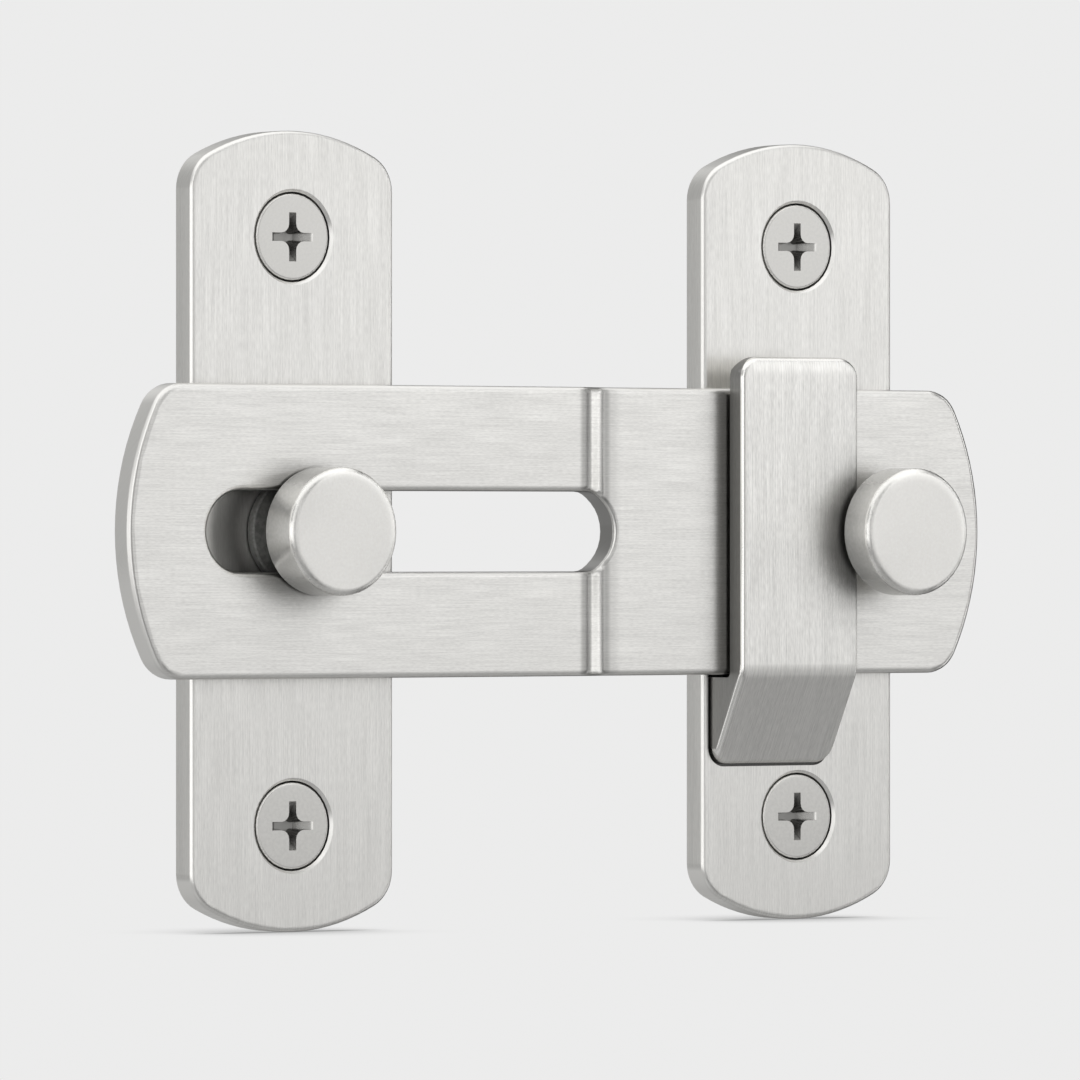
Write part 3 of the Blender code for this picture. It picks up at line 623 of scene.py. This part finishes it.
def makeWorld():
    world = bpy.data.worlds.new("studio")
    bpy.context.scene.world = world
    world.use_nodes = True
    tree = world.node_tree
    tree.nodes.clear()
    way = addNode(tree, "ShaderNodeTexCoord").outputs["Generated"]
    xyz = addNode(tree, "ShaderNodeSeparateXYZ", {"Vector": way}).outputs
    azimuth = maths(tree, "ARCTAN2", xyz["X"], times(tree, xyz["Y"], -1.0))
    elevation = maths(tree, "ARCSINE", xyz["Z"])
    level = backdrop["elsewhere"]

    def mask(value, centre, half, soft, wraps):
        away = maths(tree, "SUBTRACT", value, math.radians(centre))
        if wraps:
            away = maths(tree, "WRAP", away, math.pi, -math.pi)
        away = maths(tree, "ABSOLUTE", away)
        return ramp(tree, away, math.radians(half + soft), math.radians(half - soft))

    def over(level, share, strength):
        return maths(tree, "ADD", level, times(tree, share, maths(tree, "SUBTRACT", strength, level)))

    for dome in (ceiling, ground):
        share = ramp(tree, elevation, math.radians(dome["from"]), math.radians(dome["to"]))
        level = over(level, share, dome["strength"])
    for panel in panels:
        wide = mask(azimuth, *panel["azimuth"], True)
        tall = mask(elevation, *panel["elevation"], False)
        level = over(level, times(tree, wide, tall), panel["strength"])
    toCamera = addNode(tree, "ShaderNodeLightPath").outputs["Is Camera Ray"]
    light = addNode(tree, "ShaderNodeBackground", {"Strength": over(level, toCamera, backdrop["seen"])})
    light.inputs["Color"].default_value = backdrop["colour"]
    out = addNode(tree, "ShaderNodeOutputWorld")
    tree.links.new(light.outputs[0], out.inputs["Surface"])


# The key light: a large soft card at the front right, close enough to fall off down the plates

keyCard = {
    "middle": (0.03, 0.0),  # what it faces, in x and y
    "distance": 0.5,
    "azimuth": (19.0, 57.0),
    "low": -0.03,
    "high": 0.42,
    "strength": 1.14,
}


def makeKeyCard():
    look = keyCard
    corners = []
    for azimuth in look["azimuth"]:
        turn = math.radians(azimuth)
        x = look["middle"][0] + look["distance"] * math.sin(turn)
        y = look["middle"][1] - look["distance"] * math.cos(turn)
        corners += [(x, y, look["low"]), (x, y, look["high"])]
    mesh = bpy.data.meshes.new("keyCard")
    mesh.from_pydata(corners, [], [(0, 2, 3, 1)])
    card = bpy.data.objects.new("keyCard", mesh)
    bpy.context.scene.collection.objects.link(card)
    material, tree, shader = newMaterial("keyCardLight")
    tree.nodes.remove(shader)
    glow = addNode(tree, "ShaderNodeEmission")
    glow.inputs["Strength"].default_value = look["strength"]
    tree.links.new(glow.outputs[0], tree.nodes["Material Output"].inputs["Surface"])
    mesh.materials.append(material)
    card.visible_camera = False


# Floor: clear, so pale as the backdrop, and a soft shade where the plates' feet stand close; only the camera sees it

floorLook = {
    "halfSize": 0.6,
    "below": 0.02 * mm,
    "shadowReach": 19.0 * mm,
    "shadowDepth": 0.6,
    "samples": 16,
    "covered": (0.9, 0.2),  # share of open sky where the shade starts, and where it is full
    "feetReach": (19.0 * mm, 12.0 * mm),  # no shade past the first, whole shade within the second
}


def nearFeet(tree):  # 1 close round the plates' feet, so that a bar swung down past the floor isn't shaded
    place = addNode(tree, "ShaderNodeTexCoord").outputs["Object"]
    xyz = addNode(tree, "ShaderNodeSeparateXYZ", {"Vector": place}).outputs
    share = 0.0
    for name in ("slide_plate", "keeper_plate"):
        low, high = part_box(name)
        outside = []
        for axis, value in enumerate((xyz["X"], xyz["Y"])):
            away = maths(tree, "SUBTRACT", value, 0.5 * (low[axis] + high[axis]))
            away = maths(tree, "SUBTRACT", maths(tree, "ABSOLUTE", away), 0.5 * (high[axis] - low[axis]))
            outside.append(maths(tree, "MAXIMUM", away, 0.0))
        share = maths(tree, "MAXIMUM", share, ramp(tree, fromAxis(tree, *outside), *floorLook["feetReach"]))
    return share


def makeFloor():
    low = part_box("slide_plate")[0].z - floorLook["below"]
    mesh = bpy.data.meshes.new("floor")
    half = floorLook["halfSize"]
    corners = [(x * half, y * half, low) for x, y in ((-1, -1), (1, -1), (1, 1), (-1, 1))]
    mesh.from_pydata(corners, [], [(0, 1, 2, 3)])
    floor = bpy.data.objects.new("floor", mesh)
    bpy.context.scene.collection.objects.link(floor)
    material, tree, shader = newMaterial("paleFloor")
    tree.nodes.remove(shader)
    clear = addNode(tree, "ShaderNodeBsdfTransparent").outputs[0]
    shade = addNode(tree, "ShaderNodeEmission", {"Strength": 0.0}).outputs[0]
    near = addNode(tree, "ShaderNodeAmbientOcclusion", {
        "Distance": floorLook["shadowReach"],
    }, samples=floorLook["samples"])
    covered = ramp(tree, near.outputs["AO"], *floorLook["covered"])
    toCamera = addNode(tree, "ShaderNodeLightPath").outputs["Is Camera Ray"]
    share = times(tree, covered, nearFeet(tree), floorLook["shadowDepth"], toCamera)
    mixed = addNode(tree, "ShaderNodeMixShader", {0: share, 1: clear, 2: shade})
    tree.links.new(mixed.outputs[0], tree.nodes["Material Output"].inputs["Surface"])
    mesh.materials.append(material)
    floor.visible_diffuse = floor.visible_glossy = floor.visible_transmission = floor.visible_shadow = False


# Camera: level, at the photograph's angle

cameraLook = {
    "place": (-0.5842, -0.8713, -0.00086),
    "azimuth": -35.28,
    "lens": 349.4,
    "sensor": 36.0,
    "clip": (0.05, 20.0),
}


def makeCamera():
    data = bpy.data.cameras.new("camera")
    data.lens = cameraLook["lens"]
    data.sensor_width = cameraLook["sensor"]
    data.clip_start, data.clip_end = cameraLook["clip"]
    camera = bpy.data.objects.new("camera", data)
    camera.location = cameraLook["place"]
    camera.rotation_euler = (math.pi / 2, 0.0, math.radians(cameraLook["azimuth"]))
    bpy.context.scene.collection.objects.link(camera)
    bpy.context.scene.camera = camera


screwSteel = dressNodes()
print("nodes dressed")
makeThreads(screwSteel)
print("threads cut")
makeWorld()
makeKeyCard()
makeFloor()
makeCamera()
print("studio ready")

bpy.context.scene.view_settings.view_transform = "Standard"
